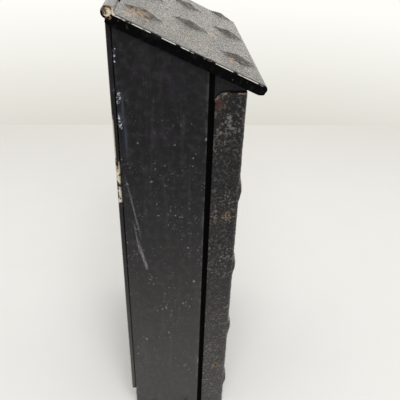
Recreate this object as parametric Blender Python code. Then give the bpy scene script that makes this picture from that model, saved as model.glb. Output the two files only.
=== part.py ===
"""A wall letter box of black sheet steel with a sloping, hinged lid.

Units are metres, +Z is up and the front faces -Y. The origin is on the base plane, under the
middle of the whole object. Depths are counted forwards from the wall plane, as u.
"""

import math

import bmesh
import bpy
from mathutils import Matrix, Vector

# Sheet metal
SHEET = 0.0009
GAP = 0.0003
BEND_STEPS = 5

# Body
BODY_WIDTH = 0.1534
BODY_DEPTH = 0.0760
SIDE_X = BODY_WIDTH / 2
BASE_CLEARANCE = 0.0004

# Lid
LID_SLOPE = math.radians(24.5)
LID_WIDTH = 0.1565
LID_TOP_AT_WALL = 0.3230
LID_LENGTH = 0.0935
LID_FLANGE = 0.0055
LID_CORNER_RADIUS = 0.0040
LID_LIP = 0.0046
LIP_BEND = 0.0014
LIP_CURL = 0.0009

# Hinge
PIN_RADIUS = 0.0020
BARREL_INNER = PIN_RADIUS + GAP
BARREL_OUTER = BARREL_INNER + SHEET
BARREL_DEPTH = 0.0018
BARREL_Z = LID_TOP_AT_WALL - 0.0010
BARREL_WIDTH = LID_WIDTH - GAP
KNUCKLES = 5
KNUCKLE_GAP = 0.0004
ROUND_SIDES = 24

# Back panel
HEM_THICKNESS = 0.0031
HEM_WIDTH = 0.0078
BACK_BOTTOM = 0.0200
HANGING_HOLE_RADIUS = 0.00375
HANGING_HOLES = ((-0.0380, 0.2850), (0.0380, 0.2850), (0.0, 0.0620))

# Side panels
SIDE_REAR = HEM_THICKNESS + GAP
SIDE_FLANGE = 0.0100
SIDE_FRONT = 0.0538
JOGGLE_DEPTH = 0.0024
JOGGLE_LENGTH = 0.0022

# Front cover
COVER_RETURN_REAR = 0.0573
COVER_TOP = 0.2801
COVER_BEND = 0.0026
COVER_CORNER_RADIUS = 0.0076
COVER_HEM = 0.0085
COVER_HEM_RADIUS = (SHEET + GAP) / 2

# Embossed diamonds
STUD_PITCH = 0.0306
STUD_HALF_DIAGONAL = 0.0140
STUD_HEIGHT = 0.0023
LID_STUD_FIRST = 0.0180
LID_STUD_MARGIN = 0.0338
COVER_STUD_TOP = LID_TOP_AT_WALL - 0.1078
COVER_STUD_MARGIN = 0.0072
COVER_STUD_ROWS = 4
COVER_STUD_COLUMNS = 5

# Bottom pan
PAN_FRONT_HEIGHT = 0.0100
PAN_REAR_HEIGHT = 0.0300

# Rivets
RIVET_SHANK = 0.0012
RIVET_HOLE = RIVET_SHANK + GAP
RIVET_HEAD = 0.0018
RIVET_HEAD_HEIGHT = 0.0004
COVER_RIVET_DEPTH = 0.0688
COVER_RIVET_HEIGHTS = {"upper": 0.1978, "lower": 0.0511}
BACK_RIVET_X = 0.0722
BACK_RIVET_HEIGHTS = {"upper": 0.2900, "middle": 0.1650, "lower": 0.0450}
PAN_RIVET_DEPTHS = {"front": 0.0450, "rear": 0.0180}
PAN_RIVET_HEIGHT = 0.0065
PAN_BACK_RIVET_HEIGHT = 0.0140

# The wall plane, placed so that the origin is midway between the lid's lip and the hinge barrel
LIP_CENTER = LID_LENGTH - SHEET / 2 - LIP_BEND
LID_REACH = LIP_CENTER * math.cos(LID_SLOPE) - LIP_BEND * math.sin(LID_SLOPE) + LIP_BEND + SHEET / 2
WALL_Y = (BARREL_DEPTH + LID_REACH + BARREL_DEPTH - BARREL_OUTER) / 2


def depth_y(u):
    """The world Y of a depth in front of the wall plane."""
    return WALL_Y - u


def lid_underside(y):
    """The height of the lid sheet's lower face above a point at this world Y."""
    forward = depth_y(BARREL_DEPTH) - y
    return BARREL_Z - math.tan(LID_SLOPE) * forward - SHEET / 2 / math.cos(LID_SLOPE)


def clear_scene():
    for obj in list(bpy.data.objects):
        bpy.data.objects.remove(obj)


def make_material(name, color, roughness, metallic):
    material = bpy.data.materials.new(name)
    material.use_nodes = True
    shader = material.node_tree.nodes["Principled BSDF"]
    shader.inputs["Base Color"].default_value = (*color, 1.0)
    shader.inputs["Roughness"].default_value = roughness
    shader.inputs["Metallic"].default_value = metallic
    material.diffuse_color = (*color, 1.0)
    return material


def make_object(name, bm, material=None, matrix=None):
    """An object from this bmesh, with its faces turned outwards. The matrix is its place."""
    bmesh.ops.recalc_face_normals(bm, faces=bm.faces)
    mesh = bpy.data.meshes.new(name)
    bm.to_mesh(mesh)
    bm.free()
    obj = bpy.data.objects.new(name, mesh)
    if material:
        mesh.materials.append(material)
    if matrix:
        obj.matrix_world = matrix
    bpy.context.scene.collection.objects.link(obj)
    bpy.context.view_layer.update()
    return obj


def combine(target, tool, operation):
    """Applies one Boolean to the target and removes the tool."""
    modifier = target.modifiers.new(operation.title(), "BOOLEAN")
    modifier.operation = operation
    modifier.object = tool
    with bpy.context.temp_override(object=target, active_object=target):
        bpy.ops.object.modifier_apply(modifier=modifier.name)
    bpy.data.objects.remove(tool)


def smooth(obj, degrees=35):
    obj.data.shade_smooth()
    obj.data.set_sharp_from_angle(angle=math.radians(degrees))


def arc(center, radius, start, end, steps):
    """Points on a circle from one angle to another, both ends included."""
    angles = [start + (end - start) * i / steps for i in range(steps + 1)]
    return [Vector((center[0] + radius * math.cos(a), center[1] + radius * math.sin(a))) for a in angles]


def bent_path(corners):
    """A path through (x, y, radius) corners, each one rounded to its radius."""
    points = []
    for i, (x, y, radius) in enumerate(corners):
        corner = Vector((x, y))
        if radius == 0:
            points.append(corner)
            continue
        before = (Vector(corners[i - 1][:2]) - corner).normalized()
        after = (Vector(corners[i + 1][:2]) - corner).normalized()
        half = before.angle(after) / 2
        center = corner + (before + after).normalized() * (radius / math.sin(half))
        first = corner + before * (radius / math.tan(half)) - center
        last = corner + after * (radius / math.tan(half)) - center
        start = math.atan2(first.y, first.x)
        sweep = first.angle_signed(last)
        points += arc(center, radius, start, start - sweep, BEND_STEPS)
    return points


def sheet_outline(path, thickness=SHEET):
    """The closed outline of a sheet of this thickness whose middle follows the path."""
    left, right = [], []
    for i, point in enumerate(path):
        into = (point - path[i - 1]).normalized() if i else None
        out = (path[i + 1] - point).normalized() if i + 1 < len(path) else None
        into = into or out
        out = out or into
        across = Vector((-(into.y + out.y), into.x + out.x)).normalized()
        reach = thickness / 2 / across.dot(Vector((-into.y, into.x)))
        left.append(point + across * reach)
        right.append(point - across * reach)
    return left + right[::-1]


def prism(outline, low, high):
    """A solid on a plan outline. low and high give the height of its two ends at a point's y."""
    bm = bmesh.new()
    bottom = [bm.verts.new((x, y, low(y))) for x, y in outline]
    top = [bm.verts.new((x, y, high(y))) for x, y in outline]
    bm.faces.new(bottom)
    bm.faces.new(top)
    for i in range(len(outline)):
        bm.faces.new((bottom[i - 1], bottom[i], top[i], top[i - 1]))
    return bm


def level(z):
    return lambda y: z


def side_prism(outline, x_low, x_high):
    """A solid whose outline lies in the YZ plane, between two X planes."""
    bm = prism(outline, level(x_low), level(x_high))
    z_to_x = Matrix(((0, 0, 1, 0), (1, 0, 0, 0), (0, 1, 0, 0), (0, 0, 0, 1)))
    bmesh.ops.transform(bm, matrix=z_to_x, verts=bm.verts)
    return bm


def rod(start, end, radius, sides=ROUND_SIDES):
    """A straight rod between two points."""
    start, end = Vector(start), Vector(end)
    along = end - start
    turn = along.to_track_quat("Z", "Y").to_matrix().to_4x4()
    bm = bmesh.new()
    bmesh.ops.create_cone(
        bm, cap_ends=True, segments=sides, radius1=radius, radius2=radius, depth=along.length,
        matrix=Matrix.Translation((start + end) / 2) @ turn,
    )
    return bm


def drill(obj, start, end, radius):
    combine(obj, make_object("drill", rod(start, end, radius)), "DIFFERENCE")


def diamonds(centers, drop):
    """Low four-sided pyramids on the XY plane, moved down by drop, one at each (x, y)."""
    sunk = 0.0004
    half = STUD_HALF_DIAGONAL * (1 + sunk / STUD_HEIGHT)
    bm = bmesh.new()
    for x, y in centers:
        ring = [
            bm.verts.new((x + dx * half, y + dy * half, -sunk - drop))
            for dx, dy in ((1, 0), (0, 1), (-1, 0), (0, -1))
        ]
        peak = bm.verts.new((x, y, STUD_HEIGHT - drop))
        bm.faces.new(ring)
        for i in range(4):
            bm.faces.new((ring[i - 1], ring[i], peak))
    return bm


def emboss(sheet, centers, matrix, limits):
    """Raises hollow diamonds on the sheet face that the matrix puts its XY plane on.

    Each limit is an (x, y) point on the edge of the flat area, with its direction from the
    plane's origin as the way out. Diamonds are cut off there.
    """
    for name, drop, operation in (("raised", 0.0, "UNION"), ("hollow", SHEET, "DIFFERENCE")):
        bm = diamonds(centers, drop)
        for x, y in limits:
            cut = bmesh.ops.bisect_plane(
                bm, geom=bm.verts[:] + bm.edges[:] + bm.faces[:],
                plane_co=(x, y, 0), plane_no=(x, y, 0), clear_outer=True,
            )
            edges = [item for item in cut["geom_cut"] if isinstance(item, bmesh.types.BMEdge)]
            bmesh.ops.holes_fill(bm, edges=edges)
        combine(sheet, make_object(name, bm, matrix=matrix), operation)


def knuckle_span(index):
    """The X range of one hinge knuckle, counted from -X. Even ones belong to the lid."""
    width = BARREL_WIDTH / KNUCKLES
    low = index * width - BARREL_WIDTH / 2
    high = low + width
    if index > 0:
        low += KNUCKLE_GAP / 2
    if index < KNUCKLES - 1:
        high -= KNUCKLE_GAP / 2
    return low, high


def knuckle(index, center):
    """One rolled tube of the hinge barrel, round a (y, z) centre."""
    low, high = knuckle_span(index)
    outline = arc(center, BARREL_OUTER, 0, math.tau, ROUND_SIDES)[:-1]
    tube = make_object("knuckle", side_prism(outline, low, high))
    drill(tube, (low - GAP, *center), (high + GAP, *center), BARREL_INNER)
    return tube


def build_back_panel(material):
    fold = (HEM_THICKNESS - SHEET) / 2
    plate, layer = depth_y(SHEET / 2), depth_y(HEM_THICKNESS - SHEET / 2)
    inner, outer = SIDE_X - HEM_WIDTH, SIDE_X - fold - SHEET / 2
    path = [Vector((-inner, layer))]
    path += arc((-outer, (plate + layer) / 2), fold, -math.pi / 2, -3 * math.pi / 2, 2 * BEND_STEPS)
    path += arc((outer, (plate + layer) / 2), fold, math.pi / 2, -math.pi / 2, 2 * BEND_STEPS)
    path.append(Vector((inner, layer)))
    top = BARREL_Z - BARREL_OUTER - 2 * GAP
    sheet = prism(sheet_outline(path), level(BACK_BOTTOM), level(top))
    panel = make_object("back_panel", sheet, material)
    axis = (depth_y(BARREL_DEPTH), BARREL_Z)
    for index in range(1, KNUCKLES, 2):
        low, high = knuckle_span(index)
        tab = [
            (depth_y(0), top - SHEET),
            (depth_y(0), axis[1]),
            (depth_y(SHEET), axis[1] - BARREL_INNER - SHEET / 2),
            (depth_y(SHEET), top - SHEET),
        ]
        combine(panel, make_object("tab", side_prism(tab, low, high)), "UNION")
        combine(panel, knuckle(index, axis), "UNION")
        drill(panel, (low - GAP, *axis), (high + GAP, *axis), BARREL_INNER)
    for x, z in HANGING_HOLES:
        drill(panel, (x, depth_y(-SHEET), z), (x, depth_y(3 * SHEET), z), HANGING_HOLE_RADIUS)
    for side in (-1, 1):
        for z in BACK_RIVET_HEIGHTS.values():
            x = side * BACK_RIVET_X
            start, end = depth_y(SHEET + GAP), depth_y(2 * HEM_THICKNESS)
            drill(panel, (x, start, z), (x, end, z), RIVET_HOLE)
    smooth(panel)


def build_side_panel(name, side, material):
    skin = SIDE_X - SHEET / 2
    strip = skin - JOGGLE_DEPTH
    rear = depth_y(SIDE_REAR + SHEET / 2)
    bend = 1.2 * SHEET
    corners = (
        (SIDE_X - SIDE_FLANGE, rear, 0),
        (skin, rear, bend),
        (skin, depth_y(SIDE_FRONT), bend),
        (strip, depth_y(SIDE_FRONT + JOGGLE_LENGTH), bend),
        (strip, depth_y(BODY_DEPTH - SHEET - GAP), 0),
    )
    path = [Vector((side * point.x, point.y)) for point in bent_path(corners)]

    def top(y):
        return lid_underside(y) - 2 * GAP

    panel = make_object(name, prism(sheet_outline(path), level(BASE_CLEARANCE), top), material)
    relief = BARREL_OUTER + 2 * GAP
    drill(
        panel,
        (side * (SIDE_X - 2 * SIDE_FLANGE), depth_y(BARREL_DEPTH), BARREL_Z),
        (side * (SIDE_X + SIDE_FLANGE), depth_y(BARREL_DEPTH), BARREL_Z),
        relief,
    )
    for z in COVER_RIVET_HEIGHTS.values():
        y = depth_y(COVER_RIVET_DEPTH)
        drill(panel, (side * (strip - 2 * SHEET), y, z), (side * (strip + 2 * SHEET), y, z), RIVET_HOLE)
    for z in (*BACK_RIVET_HEIGHTS.values(), PAN_BACK_RIVET_HEIGHT):
        x = side * BACK_RIVET_X
        drill(panel, (x, rear - 2 * SHEET, z), (x, rear + 2 * SHEET, z), RIVET_HOLE)
    for u in PAN_RIVET_DEPTHS.values():
        y = depth_y(u)
        z = PAN_RIVET_HEIGHT
        drill(panel, (side * (skin - 2 * SHEET), y, z), (side * (skin + 2 * SHEET), y, z), RIVET_HOLE)
    smooth(panel)


def build_bottom_pan(material):
    """A tray with upturned walls that follow the side panels' plan, higher at the rear."""
    wide = SIDE_X - SHEET - GAP
    narrow = wide - JOGGLE_DEPTH
    rear = SIDE_REAR + SHEET + GAP
    front = BODY_DEPTH - SHEET - GAP
    shoulder = SIDE_FRONT - 2 * SHEET

    def outline(inset):
        half = [
            (wide - inset, depth_y(rear + inset)),
            (wide - inset, depth_y(shoulder)),
            (narrow - inset, depth_y(shoulder + JOGGLE_DEPTH)),
            (narrow - inset, depth_y(front - inset)),
        ]
        return half + [(-x, y) for x, y in half[::-1]]

    def top(y):
        forward = (depth_y(rear) - y) / (front - rear)
        return PAN_REAR_HEIGHT + (PAN_FRONT_HEIGHT - PAN_REAR_HEIGHT) * forward

    pan = make_object("bottom_pan", prism(outline(0), level(0), top), material)
    hollow = prism(outline(SHEET), level(SHEET), level(2 * PAN_REAR_HEIGHT))
    combine(pan, make_object("hollow", hollow), "DIFFERENCE")
    for side in (-1, 1):
        for u in PAN_RIVET_DEPTHS.values():
            y = depth_y(u)
            z = PAN_RIVET_HEIGHT
            drill(pan, (side * (wide - 3 * SHEET), y, z), (side * (wide + SHEET), y, z), RIVET_HOLE)
        x = side * BACK_RIVET_X
        z = PAN_BACK_RIVET_HEIGHT
        drill(pan, (x, depth_y(rear - SHEET), z), (x, depth_y(rear + 3 * SHEET), z), RIVET_HOLE)
    smooth(pan)


def build_front_cover(material):
    skin = SIDE_X - SHEET / 2
    hem = skin - 2 * COVER_HEM_RADIUS
    fold = depth_y(COVER_RETURN_REAR + SHEET / 2 + COVER_HEM_RADIUS)
    face = depth_y(BODY_DEPTH - SHEET / 2)
    corner = bent_path(((skin, fold, 0), (skin, face, COVER_BEND - SHEET / 2), (0, face, 0)))
    half = [Vector((hem, depth_y(COVER_RETURN_REAR + COVER_HEM)))]
    half += arc((skin - COVER_HEM_RADIUS, fold), COVER_HEM_RADIUS, math.pi, 0, BEND_STEPS + 1)
    half += corner[1:-1]
    path = half + [Vector((-point.x, point.y)) for point in half[::-1]]
    sheet = prism(sheet_outline(path), level(BASE_CLEARANCE), level(COVER_TOP))
    cover = make_object("front_cover", sheet, material)
    rear, radius = depth_y(COVER_RETURN_REAR), COVER_CORNER_RADIUS
    rounded = arc((rear - radius, COVER_TOP - radius), radius, 0, math.pi / 2, 8)
    notch = [(rear + GAP, COVER_TOP + GAP), (rear + GAP, COVER_TOP - radius)]
    notch += [tuple(point) for point in rounded]
    notch.append((rear - radius, COVER_TOP + GAP))
    combine(cover, make_object("notch", side_prism(notch, -BODY_WIDTH, BODY_WIDTH)), "DIFFERENCE")

    # The studs stand on the front face, so the local +Z of their plane is world -Y.
    plane = Matrix.Translation((0, depth_y(BODY_DEPTH), COVER_STUD_TOP))
    plane @= Matrix.Rotation(math.pi / 2, 4, "X")
    centers = [
        (COVER_STUD_MARGIN - SIDE_X + column * STUD_PITCH, (column % 2 - 2 * row) * STUD_PITCH)
        for column in range(COVER_STUD_COLUMNS)
        for row in range(COVER_STUD_ROWS)
    ]
    edge = SIDE_X - COVER_BEND
    emboss(cover, centers, plane, ((edge, 0), (-edge, 0)))
    for side in (-1, 1):
        for z in COVER_RIVET_HEIGHTS.values():
            y = depth_y(COVER_RIVET_DEPTH)
            inside, outside = side * (skin - 2 * SHEET), side * (skin + 2 * SHEET)
            drill(cover, (inside, y, z), (outside, y, z), RIVET_HOLE)
    smooth(cover)


def flange_outline():
    """One side flange of the lid in its local YZ plane, starting under the hinge barrel."""
    inset = SHEET / 6
    top, bottom, front = SHEET / 2 - inset, -LID_FLANGE, inset - LID_LENGTH
    tuck = BARREL_OUTER - GAP / 2
    rear = -0.0005
    corner = (front + LID_CORNER_RADIUS, bottom + LID_CORNER_RADIUS)
    outline = [Vector((rear - tuck, top))]
    outline += arc((0, 0), tuck, math.pi * 1.05, math.pi * 1.45, BEND_STEPS)
    outline += [Vector((rear, bottom + 0.0005)), Vector((rear - 0.0030, bottom))]
    outline += arc(corner, LID_CORNER_RADIUS, -math.pi / 2, -math.pi, BEND_STEPS)
    outline += arc((front + LIP_BEND, top - LIP_BEND), LIP_BEND, math.pi, math.pi / 2, BEND_STEPS)
    return outline


def build_lid(material):
    """The lid lies along local -Y from its hinge axis, local X, and is tilted down by its slope."""
    half_width = LID_WIDTH / 2
    tip = LID_LENGTH - SHEET / 2
    lip_corners = (
        (-BARREL_INNER - SHEET / 2, 0, 0),
        (-tip, 0, LIP_BEND),
        (-tip, -LID_LIP + LIP_CURL, 0),
    )
    path = bent_path(lip_corners)
    path += arc((-tip + LIP_CURL, -LID_LIP + LIP_CURL), LIP_CURL, math.pi, math.tau, 2 * BEND_STEPS)[1:]
    sheet = side_prism(sheet_outline(path), -half_width + SHEET / 2, half_width - SHEET / 2)
    lid = make_object("lid", sheet, material)
    outline = flange_outline()
    for side in (-1, 1):
        x_low, x_high = sorted((side * half_width, side * (half_width - SHEET)))
        combine(lid, make_object("flange", side_prism(outline, x_low, x_high)), "UNION")

    centers = [
        (-half_width + LID_STUD_MARGIN + row * STUD_PITCH, -(LID_STUD_FIRST + column * STUD_PITCH))
        for row in range(5)
        for column in range(3)
        if row % 2 == column % 2
    ]
    edge = half_width - 2 * SHEET
    limits = ((edge, 0), (-edge, 0), (0, LIP_BEND - LID_LENGTH))
    emboss(lid, centers, Matrix.Translation((0, 0, SHEET / 2)), limits)

    for index in range(KNUCKLES):
        low, high = knuckle_span(index)
        if index % 2:
            drill(lid, (low - KNUCKLE_GAP, 0, 0), (high + KNUCKLE_GAP, 0, 0), BARREL_OUTER + 2 * GAP)
        else:
            combine(lid, knuckle(index, (0, 0)), "UNION")
            drill(lid, (low - GAP, 0, 0), (high + GAP, 0, 0), BARREL_INNER)
    smooth(lid)
    hinge = Matrix.Translation((0, depth_y(BARREL_DEPTH), BARREL_Z))
    lid.matrix_world = hinge @ Matrix.Rotation(LID_SLOPE, 4, "X")


def build_hinge_pin(material):
    y, half = depth_y(BARREL_DEPTH), LID_WIDTH / 2 - SHEET
    pin = make_object("hinge_pin", rod((-half, y, BARREL_Z), (half, y, BARREL_Z), PIN_RADIUS), material)
    smooth(pin)


def build_rivet(name, outside, inward, grip, material):
    """A flat-headed rivet. outside is on the outer sheet face, and grip is the stack that it holds."""
    head = RIVET_HEAD_HEIGHT
    stack = grip + 2 * GAP
    half = [
        (0, -head - GAP),
        (0.6 * RIVET_HEAD, -0.92 * head - GAP),
        (RIVET_HEAD, -0.3 * head - GAP),
        (RIVET_HEAD, -GAP),
        (RIVET_SHANK, -GAP),
        (RIVET_SHANK, stack - GAP),
        (0.85 * RIVET_HEAD, stack - GAP),
        (0.85 * RIVET_HEAD, stack + 0.6 * head - GAP),
        (0, stack + 0.8 * head - GAP),
    ]
    bm = bmesh.new()
    verts = [bm.verts.new((radius, 0, along)) for radius, along in half]
    edges = [bm.edges.new(pair) for pair in zip(verts, verts[1:])]
    bmesh.ops.spin(
        bm, geom=verts + edges, cent=(0, 0, 0), axis=(0, 0, 1), angle=math.tau, steps=16, use_merge=True
    )
    bmesh.ops.remove_doubles(bm, verts=bm.verts, dist=1e-6)
    turn = Vector(inward).to_track_quat("Z", "Y").to_matrix().to_4x4()
    smooth(make_object(name, bm, material, Matrix.Translation(outside) @ turn))


def build_rivets(material):
    layers = 2 * SHEET + GAP
    for label, side in (("left", -1), ("right", 1)):
        inward = (-side, 0, 0)
        for place, z in COVER_RIVET_HEIGHTS.items():
            outside = (side * SIDE_X, depth_y(COVER_RIVET_DEPTH), z)
            build_rivet(f"cover_rivet_{label}_{place}", outside, inward, JOGGLE_DEPTH + SHEET, material)
        for place, z in BACK_RIVET_HEIGHTS.items():
            outside = (side * BACK_RIVET_X, depth_y(SIDE_REAR + SHEET), z)
            build_rivet(f"back_rivet_{label}_{place}", outside, (0, 1, 0), SHEET + GAP + SHEET, material)
        for place, u in PAN_RIVET_DEPTHS.items():
            outside = (side * SIDE_X, depth_y(u), PAN_RIVET_HEIGHT)
            build_rivet(f"pan_rivet_{label}_{place}", outside, inward, layers, material)
        outside = (side * BACK_RIVET_X, depth_y(SIDE_REAR), PAN_BACK_RIVET_HEIGHT)
        build_rivet(f"pan_rivet_{label}_back", outside, (0, -1, 0), layers, material)


def main():
    clear_scene()
    smooth_enamel = make_material("smooth_enamel", (0.012, 0.012, 0.014), 0.28, 0.0)
    hammered_enamel = make_material("hammered_enamel", (0.018, 0.017, 0.016), 0.38, 0.0)
    back_enamel = make_material("back_enamel", (0.022, 0.021, 0.020), 0.50, 0.0)
    pin_steel = make_material("pin_steel", (0.16, 0.13, 0.11), 0.45, 1.0)
    rivet_enamel = make_material("rivet_enamel", (0.050, 0.034, 0.025), 0.50, 0.0)
    build_back_panel(back_enamel)
    build_side_panel("left_side_panel", -1, smooth_enamel)
    build_side_panel("right_side_panel", 1, smooth_enamel)
    build_bottom_pan(smooth_enamel)
    build_front_cover(hammered_enamel)
    build_lid(hammered_enamel)
    build_hinge_pin(pin_steel)
    build_rivets(rivet_enamel)


main()
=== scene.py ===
"""Looks of a wall letter box: worn black enamel on sheet steel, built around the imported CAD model.

Metres, +Z is up and the front faces -Y. Depths are counted forwards from the wall plane, as u.
"""

import math

import bmesh
import bpy
import numpy as np
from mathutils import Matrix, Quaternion, Vector


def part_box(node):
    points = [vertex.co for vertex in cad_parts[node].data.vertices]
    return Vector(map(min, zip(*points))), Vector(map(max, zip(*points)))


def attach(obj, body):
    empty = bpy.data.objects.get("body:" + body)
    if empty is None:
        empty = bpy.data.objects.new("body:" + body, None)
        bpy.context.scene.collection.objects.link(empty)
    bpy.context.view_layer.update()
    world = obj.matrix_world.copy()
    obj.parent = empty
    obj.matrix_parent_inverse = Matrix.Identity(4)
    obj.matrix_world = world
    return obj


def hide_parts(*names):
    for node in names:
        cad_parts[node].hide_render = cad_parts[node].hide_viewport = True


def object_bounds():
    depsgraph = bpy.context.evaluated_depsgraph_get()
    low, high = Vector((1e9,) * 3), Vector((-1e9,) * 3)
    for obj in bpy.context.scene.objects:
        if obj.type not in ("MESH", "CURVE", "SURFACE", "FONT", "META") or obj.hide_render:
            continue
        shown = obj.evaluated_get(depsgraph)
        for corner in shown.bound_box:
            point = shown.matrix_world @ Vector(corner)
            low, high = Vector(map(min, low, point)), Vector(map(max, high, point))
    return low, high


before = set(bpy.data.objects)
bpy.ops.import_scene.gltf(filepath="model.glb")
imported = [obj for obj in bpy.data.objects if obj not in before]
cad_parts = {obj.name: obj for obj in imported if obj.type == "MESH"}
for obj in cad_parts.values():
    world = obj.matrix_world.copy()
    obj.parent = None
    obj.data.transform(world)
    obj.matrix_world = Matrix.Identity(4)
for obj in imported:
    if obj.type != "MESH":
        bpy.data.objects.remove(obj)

CAD_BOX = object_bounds()

# Sheet metal, as in the CAD
SHEET = 0.0009
GAP = 0.0003
WELD = 1e-6
SHARP_ANGLE = math.radians(38)

# Places read from the CAD, and how far the hinge axis lies in front of the wall
HINGE = sum(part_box("hinge_pin"), Vector()) / 2
SIDE_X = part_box("right_side_panel")[1].x
LID_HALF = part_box("lid")[1].x
BODY_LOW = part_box("left_side_panel")[0].z
BACK_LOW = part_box("back_panel")[0].z
COVER_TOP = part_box("front_cover")[1].z
BARREL_DEPTH = 0.0018
WALL_Y = HINGE.y + BARREL_DEPTH

# Lid: s runs down the slope from the hinge axis, h stands square to it
LID_SLOPE = math.radians(24.5)
LID_LENGTH = 0.0935
LID_TIP = LID_LENGTH - SHEET / 2
LID_FLANGE = 0.0055
LID_CORNER_RADIUS = 0.0040
LID_LIP = 0.0046
LIP_BEND = 0.0014
LIP_CURL = 0.0009
SIDE_BEND = 0.0008
LID_STEP = 0.00065
REAR_STEP = 0.0005
REAR_ROUND = 0.0030
REAR_CURVE = 120
LID_RIM = 0.0034
PLATE_START = 0.0040

# Hinge barrel
BARREL_OUTER = 0.0032
BARREL_WIDTH = 2 * LID_HALF - GAP
KNUCKLES = 5
KNUCKLE_GAP = 0.0004
KNUCKLE_STEP = 0.0015
ROLL_FILLET = 0.0015
PAINT_X = 0.0003 - LID_HALF
PAINT_RISE = 0.00028
ROLL_STEPS = 28
LID_ROLL_END = math.radians(335)
BACK_ROLL_END = -math.radians(125)

# Back panel
HEM_THICKNESS = 0.0031
HEM_WIDTH = 0.0078
HEM_CORNER = 0.0085
HOLE_RADIUS = 0.00375
BACK_STEP = 0.0016
BACK_ROW_STEP = 0.0028
HANGING_HOLES = ((-0.0380, 0.2850), (0.0380, 0.2850), (0.0, 0.0620))

# Side panels
SIDE_REAR = HEM_THICKNESS + GAP / 3
SIDE_FLANGE = 0.0100
SIDE_FRONT = 0.0538
JOGGLE_DEPTH = 0.0024
JOGGLE_LENGTH = 0.0022
BEND = 1.2 * SHEET
REAR_BEND = 0.56 * SHEET
SIDE_STEP = 0.0012
SIDE_ROW_STEP = 0.0025

# Front cover
BODY_DEPTH = 0.0760
COVER_REAR = 0.0573
COVER_BEND = 0.0026
COVER_CORNER_RADIUS = 0.0076
COVER_HEM = 0.0085
COVER_HEM_RADIUS = (SHEET + GAP) / 2
COVER_STEP = 0.00085
STUD_FADE = 0.0004
HEM_FADE = 0.001

# Embossed diamonds
STUD_PITCH = 0.0306
STUD_HALF = 0.0140
STUD_HEIGHT = 0.0023
STUD_SOFTNESS = 0.0007
LID_STUD_FIRST = 0.0180
LID_STUD_MARGIN = 0.0338
COVER_STUD_TOP = 0.2152
COVER_STUD_MARGIN = 0.0072
COVER_STUD_ROWS = 4
COVER_STUD_COLUMNS = 5

# Hammered relief
HAMMER_SIZE = 0.0028
HAMMER_HEIGHT = 0.00030
RELIEF_FADE = 0.0015
LID_RELIEF_START = 0.0045

# Rubbed paint and painted highlights along edges and bends; marks on the studs
EDGE_BAND = 0.0011
BEND_CREST_TURN = 0.8
BEND_CREST_SPREAD = 0.30
STUD_MARK = -0.25

# Unevenness of the smooth sheets
WAVE_SIZE, RIPPLE_SIZE = 0.034, 0.013
WAVE_HEIGHT = 0.00016
WAVE_FADE = 0.008
HOLLOW_SIZE = 0.041
HOLLOW_DEPTH = 0.00018


def depth_y(u):
    """The Y of a place at this depth from the wall."""
    return WALL_Y - u


# Shapes -------------------------------------------------------------------------------------


def arc(center, radius, start, end, steps):
    """Points on a circle from one angle to another, both ends included."""
    turn = np.linspace(start, end, steps + 1)
    return np.column_stack((center[0] + radius * np.cos(turn), center[1] + radius * np.sin(turn)))


def bent_path(corners, steps=6):
    """A path through (a, b, radius) corners, each one rounded to its radius."""
    points = []
    for i, (a, b, radius) in enumerate(corners):
        corner = Vector((a, b))
        if radius == 0:
            points.append(np.array([[a, b]]))
            continue
        before = (Vector(corners[i - 1][:2]) - corner).normalized()
        after = (Vector(corners[i + 1][:2]) - corner).normalized()
        half = before.angle(after) / 2
        center = corner + (before + after).normalized() * (radius / math.sin(half))
        first = corner + before * (radius / math.tan(half)) - center
        last = corner + after * (radius / math.tan(half)) - center
        start = math.atan2(first.y, first.x)
        points.append(arc(center, radius, start, start - first.angle_signed(last), steps))
    return np.concatenate(points)


def dense(path, step):
    """The path with points added on its straight runs, at most a step apart."""
    rows = [path[:1]]
    for start, end in zip(path, path[1:]):
        count = max(1, math.ceil(np.linalg.norm(end - start) / step - 1e-6))
        rows.append(start + (end - start) * np.linspace(0, 1, count + 1)[1:, None])
    return np.concatenate(rows)


def path_lengths(path):
    """How far along a path each of its points lies."""
    return np.concatenate(([0], np.cumsum(np.linalg.norm(np.diff(path, axis=0), axis=1))))


def path_normals(path):
    """The direction to the left of a path at each of its points."""
    along = np.diff(path, axis=0)
    along /= np.linalg.norm(along, axis=1)[:, None]
    along = np.concatenate((along[:1], along[1:] + along[:-1], along[-1:]))
    along /= np.linalg.norm(along, axis=1)[:, None]
    return np.column_stack((-along[:, 1], along[:, 0]))


def cell_random(i, j, seed):
    """A repeatable number from 0 to 1 for each whole-numbered cell."""
    mixed = (i * 374761393 + j * 668265263 + seed * 362437) & 0xFFFFFFFF
    mixed = ((mixed ^ (mixed >> 13)) * 1274126177) & 0xFFFFFFFF
    return (mixed ^ (mixed >> 16)) / 0xFFFFFFFF


def soft_noise(a, b, size, seed):
    """Smooth noise from -1 to 1 over a plane, with cells of this size."""
    i, j = np.floor(a / size).astype(np.int64), np.floor(b / size).astype(np.int64)
    p, q = a / size - i, b / size - j
    p, q = p * p * (3 - 2 * p), q * q * (3 - 2 * q)
    low = cell_random(i, j, seed) * (1 - p) + cell_random(i + 1, j, seed) * p
    high = cell_random(i, j + 1, seed) * (1 - p) + cell_random(i + 1, j + 1, seed) * p
    return 2 * (low * (1 - q) + high * q) - 1


def dents(a, b, size, seed):
    """Round hammer dents over a plane: 0 in the middle of each, up to 1 on the ridges between."""
    i, j = np.floor(a / size).astype(np.int64), np.floor(b / size).astype(np.int64)
    nearest = np.ones(np.broadcast(a, b).shape)
    for di in (-1, 0, 1):
        for dj in (-1, 0, 1):
            da = i + di + cell_random(i + di, j + dj, seed) - a / size
            db = j + dj + cell_random(i + di, j + dj, seed + 1) - b / size
            nearest = np.minimum(nearest, da * da + db * db)
    return nearest


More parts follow.
